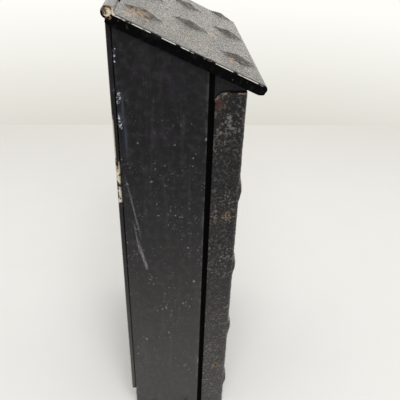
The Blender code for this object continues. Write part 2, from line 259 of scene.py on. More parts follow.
def hammered(a, b, seed):
    """The height of peened sheet over a plane, at most 0.6 HAMMER_HEIGHT up or down."""
    shift = 0.35 * HAMMER_SIZE * soft_noise(a, b, 0.8 * HAMMER_SIZE, seed + 4)
    fine = np.minimum(dents(a + shift, b - shift, HAMMER_SIZE, seed), 0.5)
    return HAMMER_HEIGHT * (fine - 0.25 + 0.35 * soft_noise(a, b, 1.3 * HAMMER_SIZE, seed + 2))


def studs(a, b, centers):
    """The height of rounded four-sided pyramids that stand on a plane."""
    height = np.zeros(np.broadcast(a, b).shape)
    full = 1 - 2 * STUD_SOFTNESS / STUD_HALF
    for center_a, center_b in centers:
        reach = np.hypot(a - center_a, STUD_SOFTNESS) + np.hypot(b - center_b, STUD_SOFTNESS)
        rise = (1 - reach / STUD_HALF) / full
        height = np.maximum(height, STUD_HEIGHT * (rise + np.hypot(rise, 0.03) - 0.03) / 2)
    return height


def extruded(path, low, high, relief, step):
    """A grid of points: a plan path carried up from low(path) to high(path) heights.

    relief(lengths, heights, path) moves points to the left of the path.
    """
    bottom, top = low(path), high(path)
    share = np.linspace(0, 1, math.ceil((top.max() - bottom.min()) / step) + 1)[:, None]
    heights = bottom + (top - bottom) * share
    offset = relief(path_lengths(path) + 0 * heights, heights, path)
    across = path_normals(path)
    x, y = path[:, 0] + across[:, 0] * offset, path[:, 1] + across[:, 1] * offset
    return np.stack((x, y, heights), -1)


def constant(z):
    """A height that is the same all along a path."""
    return lambda path: np.full(len(path), z)


# Pieces -------------------------------------------------------------------------------------


def mesh_from_grids(name, grids, wear_and_highlight=()):
    """One mesh from (rows, columns, 3) grids of points, welded where their edges meet.

    wear_and_highlight gives each grid's points a number: to 1 where paint is rubbed thin and a
    highlight is painted, to -1 on a stud.
    """
    faces, start = [], 0
    for grid in grids:
        index = start + np.arange(grid[..., 0].size).reshape(grid.shape[:2])
        corners = (index[:-1, :-1], index[:-1, 1:], index[1:, 1:], index[1:, :-1])
        faces += np.stack(corners, -1).reshape(-1, 4).tolist()
        start += index.size
    mesh = bpy.data.meshes.new(name)
    mesh.from_pydata(np.concatenate([grid.reshape(-1, 3) for grid in grids]).tolist(), [], faces)
    marks = list(wear_and_highlight) + [0.0] * (len(grids) - len(wear_and_highlight))
    paled = [np.broadcast_to(mark, grid.shape[:2]).ravel() for mark, grid in zip(marks, grids)]
    attribute = mesh.attributes.new("wear_and_highlight", "FLOAT", "POINT")
    attribute.data.foreach_set("value", np.concatenate(paled).astype(np.float32))
    bm = bmesh.new()
    bm.from_mesh(mesh)
    bmesh.ops.remove_doubles(bm, verts=bm.verts, dist=WELD)
    bmesh.ops.recalc_face_normals(bm, faces=bm.faces)
    bm.to_mesh(mesh)
    bm.free()
    return mesh


def add_piece(name, mesh, material, body, nodes):
    """Puts a mesh in the scene as a piece that rides on a body and stands for CAD nodes.

    Relief that would stand out of the CAD's box is pressed back to it.
    """
    points = np.empty(3 * len(mesh.vertices), np.float32)
    mesh.vertices.foreach_get("co", points)
    mesh.vertices.foreach_set("co", np.clip(points.reshape(-1, 3), *CAD_BOX).ravel())
    mesh.update()
    obj = bpy.data.objects.new(name, mesh)
    bpy.context.scene.collection.objects.link(obj)
    mesh.materials.clear()
    mesh.materials.append(material)
    mesh.shade_smooth()
    mesh.set_sharp_from_angle(angle=SHARP_ANGLE)
    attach(obj, body)
    if nodes:
        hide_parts(*nodes)
    return obj


def paint_faces(obj, material, test):
    """Gives another material to the faces that pass the test."""
    obj.data.materials.append(material)
    for face in obj.data.polygons:
        if test(face):
            face.material_index = len(obj.data.materials) - 1


def is_stud(obj):
    """A test for the faces that lie on an embossed diamond."""
    marks = obj.data.attributes["wear_and_highlight"].data
    return lambda face: max(marks[v].value for v in face.vertices) < STUD_MARK


def thickened(mesh, cutters=()):
    """The mesh of a sheet made solid, with holes cut through it."""
    obj = bpy.data.objects.new("sheet", mesh)
    bpy.context.scene.collection.objects.link(obj)
    solid = obj.modifiers.new("thickness", "SOLIDIFY")
    solid.thickness = SHEET
    solid.offset = 0
    solid.use_even_offset = True
    for rod in cutters:
        hole = obj.modifiers.new("hole", "BOOLEAN")
        hole.operation = "DIFFERENCE"
        hole.object = rod
    bpy.context.view_layer.update()
    made = bpy.data.meshes.new_from_object(obj.evaluated_get(bpy.context.evaluated_depsgraph_get()))
    for helper in (obj, *cutters):
        bpy.data.objects.remove(helper)
    made.name = mesh.name
    return made


def cutter(center, along, radius, length):
    """A rod to cut a round hole with, centred on a point."""
    bm = bmesh.new()
    bmesh.ops.create_cone(
        bm, cap_ends=True, segments=32, radius1=radius, radius2=radius, depth=length,
        matrix=Vector(along).to_track_quat("Z", "Y").to_matrix().to_4x4(),
    )
    bmesh.ops.translate(bm, verts=bm.verts, vec=center)
    mesh = bpy.data.meshes.new("cutter")
    bm.to_mesh(mesh)
    bm.free()
    obj = bpy.data.objects.new("cutter", mesh)
    bpy.context.scene.collection.objects.link(obj)
    return obj


def knuckle_span(index):
    """The X range of one hinge knuckle, counted from -X. Even ones belong to the lid."""
    width = BARREL_WIDTH / KNUCKLES
    low = index * width - BARREL_WIDTH / 2
    high = low + width
    if index > 0:
        low += KNUCKLE_GAP / 2
    if index < KNUCKLES - 1:
        high -= KNUCKLE_GAP / 2
    return low, high


def across_steps(low, high, step):
    """Evenly spaced places from low to high, at most a step apart."""
    return np.linspace(low, high, math.ceil((high - low) / step) + 1)


def lid_surface(x, s, h):
    """Points of the lid from its own coordinates."""
    cos, sin = math.cos(LID_SLOPE), math.sin(LID_SLOPE)
    x, s, h = np.broadcast_arrays(x, s, h)
    return np.stack((x, HINGE.y - s * cos - h * sin, HINGE.z - s * sin + h * cos), -1)


def flange_bottom(s):
    """The lower edge of the lid's side flanges, rounded up at the front and under the barrel."""
    front = np.clip(s - (LID_LENGTH - LID_CORNER_RADIUS), 0, LID_CORNER_RADIUS)
    rear = np.clip(REAR_ROUND - s, 0, REAR_ROUND)
    rounded = LID_CORNER_RADIUS - np.sqrt(LID_CORNER_RADIUS**2 - front**2)
    return -LID_FLANGE + rounded + rear**2 * REAR_CURVE


def lid_plate_columns():
    """X places across the flat of the lid, with the knuckles' ends among them."""
    flat = LID_HALF - SHEET / 2 - SIDE_BEND
    edges = [-flat] + [x for i in range(KNUCKLES) for x in knuckle_span(i)][1:-1] + [flat]
    pieces = [across_steps(low, high, LID_STEP) for low, high in zip(edges, edges[1:])]
    return np.unique(np.round(np.concatenate(pieces), 8))


def lid_relief(x, s):
    """The height of the hammered, studded lid plate."""
    centers = [
        (-LID_HALF + LID_STUD_MARGIN + row * STUD_PITCH, LID_STUD_FIRST + column * STUD_PITCH)
        for row in range(5)
        for column in range(3)
        if row % 2 == column % 2
    ]
    flat = LID_HALF - SHEET - SIDE_BEND
    inside = np.clip((flat - np.abs(x)) / RELIEF_FADE, 0, 1)
    inside = inside * np.clip((LID_TIP - LIP_BEND - s) / RELIEF_FADE, 0, 1)
    inside *= np.clip((s - LID_RELIEF_START) / RELIEF_FADE, 0, 1)
    return (studs(x, s, centers) + hammered(x, s, 5)) * inside


def build_lid(material, stud, rim):
    """The lid: a hammered plate with side flanges, a curled front lip and three rolled knuckles."""
    side = LID_HALF - SHEET / 2
    plate = lid_plate_columns()
    rows = np.concatenate((
        [(s, 0.0) for s in across_steps(PLATE_START, LID_TIP - LIP_BEND, LID_STEP)],
        arc((LID_TIP - LIP_BEND, -LIP_BEND), LIP_BEND, math.pi / 2, 0, 6)[1:],
    ))
    s, h = rows[:, :1], rows[:, 1:]
    turn = np.linspace(0, math.pi / 2, 7)
    drop = SIDE_BEND * (1 - np.sin(turn))
    flange_share = np.linspace(0, 1, 7)
    grids = []

    face = lid_surface(plate, s, h)
    up = lid_surface(0, 0, 1) - lid_surface(0, 0, 0)
    relief = lid_relief(plate, s + 0 * plate)
    face += up * relief[..., None]
    grids.append(face)
    wear_and_highlight = [-np.clip(relief / STUD_HEIGHT, 0, 1) ** 0.5]
    # The bend's crest, where the rim gets rubbed paint and a painted highlight
    bend_crest = np.exp(-(((turn - BEND_CREST_TURN) / BEND_CREST_SPREAD) ** 2))
    for sign in (-1, 1):
        edge = up * lid_relief(sign * (side - SIDE_BEND), s)[..., None]
        bend_x = sign * (side - SIDE_BEND + SIDE_BEND * np.cos(turn))
        grids.append(lid_surface(bend_x, s, h - drop) + edge * np.sin(turn)[:, None])
        wear_and_highlight.append(bend_crest + 0 * s)
        top = h - SIDE_BEND
        bottom = np.minimum(flange_bottom(s), top - 0.0001)
        grids.append(lid_surface(sign * side, s, bottom + (top - bottom) * flange_share))
        wear_and_highlight.append(0.0)
        s_rear = across_steps(REAR_STEP, PLATE_START, REAR_STEP)[:, None]
        under = -np.sqrt(np.clip((BARREL_OUTER - SHEET / 4) ** 2 - s_rear**2, 0, None))
        top = np.minimum(under, -SIDE_BEND)
        bottom = flange_bottom(s_rear)
        grids.append(lid_surface(sign * side, s_rear, bottom + (top - bottom) * flange_share))
        wear_and_highlight.append(0.0)

    curl = np.concatenate((
        across_steps(LIP_BEND, LID_LIP - LIP_CURL, LID_STEP)[:, None] * (0, -1) + (LID_TIP, 0),
        arc((LID_TIP - LIP_CURL, LIP_CURL - LID_LIP), LIP_CURL, 0, -1.15 * math.pi, 12)[1:],
    ))
    lip = lid_surface(plate, curl[:, :1], curl[:, 1:])
    first = lid_relief(plate, rows[-1:, :1] + 0 * plate)[..., None]
    fade = np.linspace(1, 0, len(curl))[:, None, None]
    grids.append(lip + up * first * fade)

    roll = roll_path()
    for index in range(0, KNUCKLES, 2):
        low, high = knuckle_span(index)
        columns = plate[(plate > low - WELD) & (plate < high + WELD)]
        if index in (0, KNUCKLES - 1):
            outer = np.array([math.copysign(BARREL_WIDTH / 2, high + low)])
            columns = np.unique(np.concatenate((columns, outer)))
        fade = np.linspace(1, 0, len(roll))[:, None, None]
        lift = up * lid_relief(columns, PLATE_START + 0 * columns)[..., None] * fade
        grids.append(lid_surface(columns, roll[:, :1], roll[:, 1:]) + lift)
    mesh = thickened(mesh_from_grids("lid_sheet", grids, wear_and_highlight))
    lid = add_piece("lid_sheet", mesh, material, "lid", ["lid"])
    paint_faces(lid, stud, is_stud(lid))
    paint_faces(lid, rim, lambda face: abs(face.center.x) > LID_HALF - LID_RIM)


def roll_path():
    """The rolled knuckle in the lid's (s, h): a fillet up from the plate, then over the pin."""
    radius = BARREL_OUTER - SHEET / 2
    center = math.sqrt((radius + ROLL_FILLET) ** 2 - ROLL_FILLET**2)
    lean = math.atan2(ROLL_FILLET, center)
    fillet = arc((center, ROLL_FILLET), ROLL_FILLET, -math.pi / 2, lean - math.pi, 5)
    around = arc((0, 0), radius, lean, LID_ROLL_END, ROLL_STEPS)
    return np.concatenate(([(PLATE_START, 0.0)], fillet[1:], around[1:]))


def cover_path():
    """The front cover's plan, from the hem inside one return to the hem inside the other."""
    skin = SIDE_X - SHEET / 2
    hem = skin - 2 * COVER_HEM_RADIUS
    fold = depth_y(COVER_REAR + SHEET / 2 + COVER_HEM_RADIUS)
    face = depth_y(BODY_DEPTH - SHEET / 2)
    corner = bent_path(((skin, fold, 0), (skin, face, COVER_BEND - SHEET / 2), (0, face, 0)), 8)
    half = np.concatenate((
        [(hem, depth_y(COVER_REAR + COVER_HEM))],
        arc((skin - COVER_HEM_RADIUS, fold), COVER_HEM_RADIUS, math.pi, 0, 8),
        corner[1:],
    ))
    return dense(np.concatenate((half, (half * (-1, 1))[-2::-1])), COVER_STEP)


def cover_top(path):
    """The cover's top edge, rounded down at the rear of each return."""
    rear = depth_y(COVER_REAR)
    inward = np.clip(COVER_CORNER_RADIUS - (rear - path[:, 1]), 0, COVER_CORNER_RADIUS)
    return COVER_TOP - COVER_CORNER_RADIUS + np.sqrt(COVER_CORNER_RADIUS**2 - inward**2)


def cover_studs(heights, path):
    """The height of the diamonds on the cover's face."""
    centers = [
        (
            COVER_STUD_MARGIN - SIDE_X + column * STUD_PITCH,
            COVER_STUD_TOP + (column % 2 - 2 * row) * STUD_PITCH,
        )
        for column in range(COVER_STUD_COLUMNS)
        for row in range(COVER_STUD_ROWS)
    ]
    face = depth_y(BODY_DEPTH - SHEET / 2)
    on_face = np.clip(1 - (path[:, 1] - face) / STUD_FADE, 0, 1)
    return studs(path[:, 0] + 0 * heights, heights, centers) * on_face


def cover_relief(lengths, heights, path):
    """Hammered dents on the outer layer, and diamonds on the face."""
    hem_end = COVER_HEM + 2 * COVER_HEM_RADIUS
    total = lengths[0, -1]
    outer = np.clip((np.minimum(lengths, total - lengths) - hem_end) / HEM_FADE, 0, 1)
    return cover_studs(heights, path) + outer * hammered(lengths, heights, 31)


def build_cover(material, stud, seam):
    """The front cover: one hammered, studded sheet with a hemmed return on each side."""
    path = cover_path()
    grid = extruded(path, constant(BODY_LOW), cover_top, cover_relief, COVER_STEP)
    top = cover_top(path)
    slant = np.hypot(1, np.gradient(top) / COVER_STEP)
    # Rubbed paint and a painted highlight along the top edge
    wear_and_highlight = np.clip(1 - (top - grid[..., 2]) / slant / EDGE_BAND, 0, 1)
    wear_and_highlight -= (cover_studs(grid[..., 2], path) / STUD_HEIGHT) ** 0.5
    mesh = thickened(mesh_from_grids("cover_sheet", [grid], [wear_and_highlight]))
    cover = add_piece("cover_sheet", mesh, material, "box", ["front_cover"])
    paint_faces(cover, stud, is_stud(cover))
    # Painted shade on the rear of each return, in the groove beside the side panel
    paint_faces(cover, seam, lambda face: face.center.y > depth_y(COVER_REAR + COVER_HEM_RADIUS))


def side_path(side):
    """A side panel's plan, from its rear flange to the step under the cover's return."""
    skin = SIDE_X - SHEET / 2
    strip = skin - JOGGLE_DEPTH
    rear = depth_y(SIDE_REAR + SHEET / 2)
    corners = (
        (SIDE_X - SIDE_FLANGE, rear, 0),
        (skin, rear, REAR_BEND),
        (skin, depth_y(SIDE_FRONT), BEND),
        (strip, depth_y(SIDE_FRONT + JOGGLE_LENGTH), BEND),
        (strip, depth_y(BODY_DEPTH - SHEET - GAP), 0),
    )
    return dense(bent_path(corners), SIDE_STEP) * (side, 1)


def side_top(path):
    """The side panel's top edge: cut on the slope of the lid, and round the hinge barrel."""
    forward = HINGE.y - path[:, 1]
    slope = HINGE.z - math.tan(LID_SLOPE) * forward - SHEET / 2 / math.cos(LID_SLOPE) - 2 * GAP
    relief = BARREL_OUTER + 2 * GAP
    under = HINGE.z - np.sqrt(np.clip(relief**2 - forward**2, 0, None))
    return np.where(np.abs(forward) < relief, np.minimum(slope, under), slope)


def side_relief(lengths, heights, path):
    """Slight waves in the flat of a side panel, none near its bends."""
    flat = np.clip((depth_y(SIDE_REAR) - path[:, 1] - 0.004) / WAVE_FADE, 0, 1)
    flat *= np.clip((path[:, 1] - depth_y(SIDE_FRONT) - 0.002) / WAVE_FADE, 0, 1)
    waves = soft_noise(lengths, heights, WAVE_SIZE, 3)
    waves = waves + 0.35 * soft_noise(lengths, heights, RIPPLE_SIZE, 4)
    return WAVE_HEIGHT * waves * flat


def build_side(side, label, material, seam):
    """A side panel, with painted shade where its step lies in the groove beside the cover."""
    grid = extruded(side_path(side), constant(BODY_LOW), side_top, side_relief, SIDE_ROW_STEP)
    # Rubbed paint and a painted highlight along the step's bend
    wear_and_highlight = np.clip(1 - np.abs(grid[..., 1] - depth_y(SIDE_FRONT)) / EDGE_BAND, 0, 1)
    name = f"{label}_side_sheet"
    mesh = thickened(mesh_from_grids(name, [grid], [wear_and_highlight]))
    panel = add_piece(name, mesh, material, "box", [f"{label}_side_panel"])
    # Painted shade on the step, in the groove beside the cover
    front, rear = depth_y(SIDE_FRONT + JOGGLE_LENGTH + BEND), depth_y(SIDE_FRONT + BEND / 4)
    paint_faces(panel, seam, lambda face: front < face.center.y < rear)


def back_path():
    """The back panel's plan: a plate with both side edges folded over to the front."""
    fold = (HEM_THICKNESS - SHEET) / 2
    plate, layer = depth_y(SHEET / 2), depth_y(HEM_THICKNESS - SHEET / 2)
    inner, outer = SIDE_X - HEM_WIDTH, SIDE_X - fold - SHEET / 2
    middle = (plate + layer) / 2
    return dense(np.concatenate((
        [(-inner, layer)],
        arc((-outer, middle), fold, -math.pi / 2, -3 * math.pi / 2, 12),
        arc((outer, middle), fold, math.pi / 2, -math.pi / 2, 12),
        [(inner, layer)],
    )), BACK_STEP)


def back_bottom(path):
    """The back panel's lower edge, rounded up towards its folds."""
    inward = np.clip(np.abs(path[:, 0]) - (SIDE_X - HEM_CORNER), 0, HEM_CORNER)
    return BACK_LOW + HEM_CORNER - np.sqrt(HEM_CORNER**2 - inward**2)


def back_relief(lengths, heights, path):
    """Slight hollows in the back panel's plate, always away from the wall."""
    plate = np.clip((path[:, 1] - depth_y(SHEET)) / (0.4 * SHEET), 0, 1)
    return -HOLLOW_DEPTH * plate * (1 + soft_noise(lengths, heights, HOLLOW_SIZE, 11)) / 2


def build_back(material):
    """The back panel with its folded edges, hanging holes and two rolled knuckles."""
    top = HINGE.z - BARREL_OUTER - 2 * GAP
    path = back_path()
    grid = extruded(path, back_bottom, constant(top), back_relief, BACK_ROW_STEP)
    holes = [
        cutter((x, depth_y(SHEET / 2), z), (0, 1, 0), HOLE_RADIUS, 4 * SHEET)
        for x, z in HANGING_HOLES
    ]
    sheet = thickened(mesh_from_grids("back_sheet", [grid]), holes)
    add_piece("back_sheet", sheet, material, "box", ["back_panel"])
    radius = BARREL_OUTER - SHEET / 2
    middle = BARREL_DEPTH - SHEET / 2
    rise = math.sqrt((radius + ROLL_FILLET) ** 2 - (middle + ROLL_FILLET) ** 2)
    lean = math.atan2(rise, middle + ROLL_FILLET)
    fillet = arc((-middle - ROLL_FILLET, -rise), ROLL_FILLET, 0, lean, 5)
    around = arc((0, 0), radius, math.pi + lean, BACK_ROLL_END, ROLL_STEPS)
    profile = np.concatenate(([(-middle, top - HINGE.z - SHEET)], fillet, around[1:]))
    for index in range(1, KNUCKLES, 2):
        x = across_steps(*knuckle_span(index), KNUCKLE_STEP)
        y, z = HINGE.y - profile[:, :1], HINGE.z + profile[:, 1:]
        tab = np.stack(np.broadcast_arrays(x, y, z), -1)
        name = f"back_knuckle_{index // 2 + 1}"
        add_piece(name, thickened(mesh_from_grids(name, [tab])), material, "box", ())


def dome(center, out, radius, height, seed, name, uneven):
    """A low, slightly uneven round head that stands on a sheet, closed underneath."""
    rings = (1.0, 0.93, 0.75, 0.5, 0.25)
    turn = np.linspace(0, math.tau, 25)[:-1]
    wobble = 1 + uneven * soft_noise(np.cos(turn) * 2, np.sin(turn) * 2, 1.0, seed)
    bm = bmesh.new()
    loops = []
    for share, rise in [(1.0, -0.5)] + [(share, 1 - share**2.5) for share in rings]:
        reach = radius * share
        loops.append([
            bm.verts.new((reach * w * math.cos(t), reach * w * math.sin(t), height * rise))
            for t, w in zip(turn, wobble)
        ])
    for lower, upper in zip(loops, loops[1:]):
        for i in range(len(turn)):
            bm.faces.new((lower[i - 1], lower[i], upper[i], upper[i - 1]))
    bm.faces.new(loops[0])
    bm.faces.new(loops[-1])
    bmesh.ops.recalc_face_normals(bm, faces=bm.faces)
    bmesh.ops.rotate(bm, verts=bm.verts, matrix=Vector(out).to_track_quat("Z", "Y").to_matrix())
    bmesh.ops.translate(bm, verts=bm.verts, vec=center)
    mesh = bpy.data.meshes.new(name)
    bm.to_mesh(mesh)
    bm.free()
    return mesh


def build_bore_paint(material):
    """Dried wall paint on the end of the hinge pin, clear of the lid's knuckle round it."""
    place = Vector((PAINT_X, HINGE.y, HINGE.z))
    radius = 0.94 * (BARREL_OUTER - SHEET)
    mesh = dome(place, (-1, 0, 0), radius, PAINT_RISE, 8, "bore_paint", uneven=0.04)
    add_piece("bore_paint", mesh, material, "box", ())


# Materials ----------------------------------------------------------------------------------


class Finish:
    """A material whose node tree is built through short calls."""

    def __init__(self, name, **constants):
        self.material = bpy.data.materials.new(name)
        self.material.use_nodes = True
        self.tree = self.material.node_tree
        self.shader = self.tree.nodes["Principled BSDF"]
        for socket, value in constants.items():
            self.shader.inputs[socket.replace("_", " ")].default_value = value
        self.place = self.add("ShaderNodeTexCoord").outputs["Object"]

    def add(self, kind, **settings):
        node = self.tree.nodes.new(kind)
        for key, value in settings.items():
            setattr(node, key, value)
        return node

    def put(self, value, socket):
        if isinstance(value, bpy.types.NodeSocket):
            self.tree.links.new(value, socket)
        elif isinstance(value, tuple) and len(value) == 3 and socket.type == "RGBA":
            socket.default_value = (*value, 1.0)
        else:
            socket.default_value = value

    def math(self, operation, a, b=0.0):
        node = self.add("ShaderNodeMath", operation=operation)
        self.put(a, node.inputs[0])
        self.put(b, node.inputs[1])
        return node.outputs[0]

    def scaled(self, factors):
        """Object coordinates, each axis multiplied by its own factor."""
        node = self.add("ShaderNodeVectorMath", operation="MULTIPLY")
        self.put(self.place, node.inputs[0])
        node.inputs[1].default_value = factors
        return node.outputs[0]

    def noise(self, size, detail=3.0, stretch=(1, 1, 1), roughness=0.55):
        """Soft noise around 0.5, whose features have about this size in metres."""
        node = self.add("ShaderNodeTexNoise")
        self.put(self.scaled(tuple(1 / (size * part) for part in stretch)), node.inputs["Vector"])
        node.inputs["Scale"].default_value = 1.0
        node.inputs["Detail"].default_value = detail
        node.inputs["Roughness"].default_value = roughness
        return node.outputs["Fac"]

    def swing(self, noise, span):
        """Noise multiplied by a span and moved down by half of it, so that it turns on 0."""
        moved = self.math("MULTIPLY_ADD", noise, span)
        moved.node.inputs[2].default_value = -span / 2
        return moved

    def step(self, value, low, high):
        """0 below low and 1 above high, smooth between; low may be the larger one."""
        node = self.add("ShaderNodeMapRange", interpolation_type="SMOOTHSTEP")
        self.put(value, node.inputs["Value"])
        node.inputs["From Min"].default_value = low
        node.inputs["From Max"].default_value = high
        return node.outputs["Result"]

    def both(self, *masks):
        result = masks[0]
        for mask in masks[1:]:
            result = self.math("MULTIPLY", result, mask)
        return result

    def either(self, *masks):
        result = masks[0]
        for mask in masks[1:]:
            result = self.math("MAXIMUM", result, mask)
        return result

    def axis(self, name):
        node = self.add("ShaderNodeSeparateXYZ")
        self.put(self.place, node.inputs[0])
        return node.outputs[name]

    def near(self, point, inner, outer, stretch=(1, 1, 1)):
        """1 within the inner distance of a point, 0 beyond the outer one."""
        node = self.add("ShaderNodeVectorMath", operation="DISTANCE")
        self.put(self.scaled(tuple(1 / part for part in stretch)), node.inputs[0])
        node.inputs[1].default_value = [value / part for value, part in zip(point, stretch)]
        return self.step(node.outputs["Value"], outer, inner)

    def stroke(self, start, end, width):
        """1 along a straight scratch between two points, fading towards its ends."""
        way = Vector(end) - Vector(start)
        direction, length = tuple(way.normalized()), way.length
        offset = self.add("ShaderNodeVectorMath", operation="SUBTRACT")
        self.put(self.place, offset.inputs[0])
        offset.inputs[1].default_value = start
        run = self.add("ShaderNodeVectorMath", operation="DOT_PRODUCT")
        self.put(offset.outputs[0], run.inputs[0])
        run.inputs[1].default_value = direction
        run = run.outputs["Value"]
        foot = self.add("ShaderNodeVectorMath", operation="SCALE")
        foot.inputs[0].default_value = direction
        self.put(run, foot.inputs["Scale"])
        gap = self.add("ShaderNodeVectorMath", operation="DISTANCE")
        self.put(offset.outputs[0], gap.inputs[0])
        self.put(foot.outputs[0], gap.inputs[1])
        line = self.step(gap.outputs["Value"], width, 0.25 * width)
        begun = self.step(run, 0.0, 0.3 * length)
        return self.both(line, begun, self.step(run, length, 0.9 * length))

    def flecks(self, size, share, cluster):
        """Small uneven marks of about this size, gathered in clusters; share is from 0 to 1."""
        fine = self.noise(size, 1.5, roughness=0.4)
        gathered = self.swing(self.noise(cluster, 2), 0.45)
        limit = 0.76 - 0.20 * share
        return self.step(self.math("ADD", fine, gathered), limit, limit + 0.09)

    def patch(self, point, radius, size, stretch=(1, 1, 1)):
        """A ragged mark round a point, whose edge is broken up by noise of this size."""
        zone = self.near(point, 0.0, radius, stretch)
        ragged = self.swing(self.noise(size, 4), 2.4)
        mark = self.step(self.math("ADD", zone, ragged), 0.46, 0.62)
        return self.both(mark, self.step(zone, 0.0, 0.25))

    def ridges(self, cell, width):
        """1 along the wandering borders between cells of this size, 0 inside them."""
        wander = self.add("ShaderNodeTexNoise")
        self.put(self.scaled((1.6 / cell,) * 3), wander.inputs["Vector"])
        wander.inputs["Scale"].default_value = 1.0
        shifted = self.add("ShaderNodeVectorMath", operation="MULTIPLY_ADD")
        self.put(wander.outputs["Color"], shifted.inputs[0])
        shifted.inputs[1].default_value = (1.4, 1.4, 1.4)
        self.put(self.scaled((1 / cell,) * 3), shifted.inputs[2])
        node = self.add("ShaderNodeTexVoronoi", feature="DISTANCE_TO_EDGE")
        self.put(shifted.outputs[0], node.inputs["Vector"])
        node.inputs["Scale"].default_value = 1.0
        return self.step(node.outputs["Distance"], width, 0.02)

    def wear_and_highlight(self):
        """What the mesh marks: above 0 where paint is rubbed and a highlight is painted, below 0 on
        the embossed diamonds.
        """
        return self.add("ShaderNodeAttribute", attribute_name="wear_and_highlight").outputs["Fac"]

    def mix(self, share, a, b):
        node = self.add("ShaderNodeMix", data_type="RGBA")
        self.put(share, node.inputs["Factor"])
        self.put(a, node.inputs[6])
        self.put(b, node.inputs[7])
        return node.outputs[2]

    def blend(self, share, a, b):
        node = self.add("ShaderNodeMix", data_type="FLOAT")
        self.put(share, node.inputs["Factor"])
        self.put(a, node.inputs[2])
        self.put(b, node.inputs[3])
        return node.outputs[0]

    def bump(self, height, distance, strength=1.0):
        node = self.add("ShaderNodeBump")
        node.inputs["Distance"].default_value = distance
        node.inputs["Strength"].default_value = strength
        self.put(height, node.inputs["Height"])
        self.put(node.outputs["Normal"], self.shader.inputs["Normal"])

    def finish(self, color, roughness):
        self.put(color, self.shader.inputs["Base Color"])
        self.put(roughness, self.shader.inputs["Roughness"])
        return self.material


# Colours, as linear red, green and blue
BLACK = (0.0080, 0.0072, 0.0088)
BROWN_BLACK = (0.018, 0.013, 0.010)
GRIME_AND_HIGHLIGHT = (0.115, 0.108, 0.098)
DUST_AND_SHEEN = (0.30, 0.285, 0.27)
PLUM_BLACK = (0.017, 0.014, 0.020)
LID_DUST = (0.215, 0.198, 0.172)
RIDGE = (0.185, 0.175, 0.162)
SPECK = (0.27, 0.258, 0.242)
GLINT = (0.075, 0.100, 0.150)
BARE_AND_HIGHLIGHT = (0.36, 0.29, 0.22)
RUST = (0.125, 0.062, 0.030)
TAN = (0.42, 0.30, 0.175)
CREAM = (0.74, 0.67, 0.54)
SPLASH = (0.62, 0.64, 0.72)
SEAM_BLACK, SEAM_BROWN = (0.0016, 0.0015, 0.0015), (0.02, 0.015, 0.011)
RIM_BLACK, RIM_GREY = (0.0016, 0.0015, 0.0018), (0.010, 0.009, 0.009)
RIM_CREST_HIGHLIGHT = (0.72, 0.69, 0.64)
STUD_BLACK, STUD_BROWN = (0.012, 0.010, 0.009), (0.046, 0.032, 0.024)
BARREL_BROWN = (0.20, 0.13, 0.08)
CORNER_RUST = (0.085, 0.026, 0.018)
WALL_STAIN, PAINT_STAIN = (0.46, 0.34, 0.20), (0.42, 0.29, 0.16)
PAINT_GAP = (0.055, 0.036, 0.024)
STEEL, STEEL_RUST = (0.22, 0.19, 0.16), (0.12, 0.06, 0.03)
PAPER, PAPER_LIGHT = (0.835, 0.830, 0.815), (0.865, 0.860, 0.850)
PAPER_FAR, PAPER_NEAR = (0.80, 0.79, 0.765), (0.42, 0.42, 0.42)

# Marks on the outside of the box, at (depth from the wall, height). A scratch has two such
# ends, its width and its strength; a splash has its radius.
LEFT_SCRATCHES = (
    ((0.0045, 0.2330), (0.0125, 0.1860), 0.0008, 0.12),
    ((0.0072, 0.2200), (0.0135, 0.1780), 0.0006, 0.10),
    ((0.0105, 0.1810), (0.0168, 0.1530), 0.0014, 0.32),
    ((0.0090, 0.1960), (0.0120, 0.1680), 0.0006, 0.20),
)
LEFT_GLINTS = ((0.0066, 0.270), (0.0074, 0.252))
LEFT_SPLASHES = ((0.0036, 0.3005, 0.0020), (0.0046, 0.2770, 0.0024), (0.0048, 0.2640, 0.0026))
COVER_RIVET_HEIGHTS = (0.1978, 0.0511)
COVER_RIVET_DEPTH = 0.0688
COVER_CORNER = (0.0595, 0.2740)
# Brown grain on the lid, at (x, s)
LID_WARM_PLACE = (-0.0500, 0.0450)
# Rust on the lid, at (x, s) with a radius
LID_RUST = (
    (-0.0535, 0.0155, 0.0120), (-0.0640, 0.0090, 0.0080), (-0.0560, 0.0740, 0.0080),
    (-0.0610, 0.0830, 0.0065), (-0.0130, 0.0640, 0.0070), (-0.0250, 0.0320, 0.0060),
)


def on_left(u, z):
    """A place on the outside of the left side panel."""
    return (-SIDE_X, depth_y(u), z)


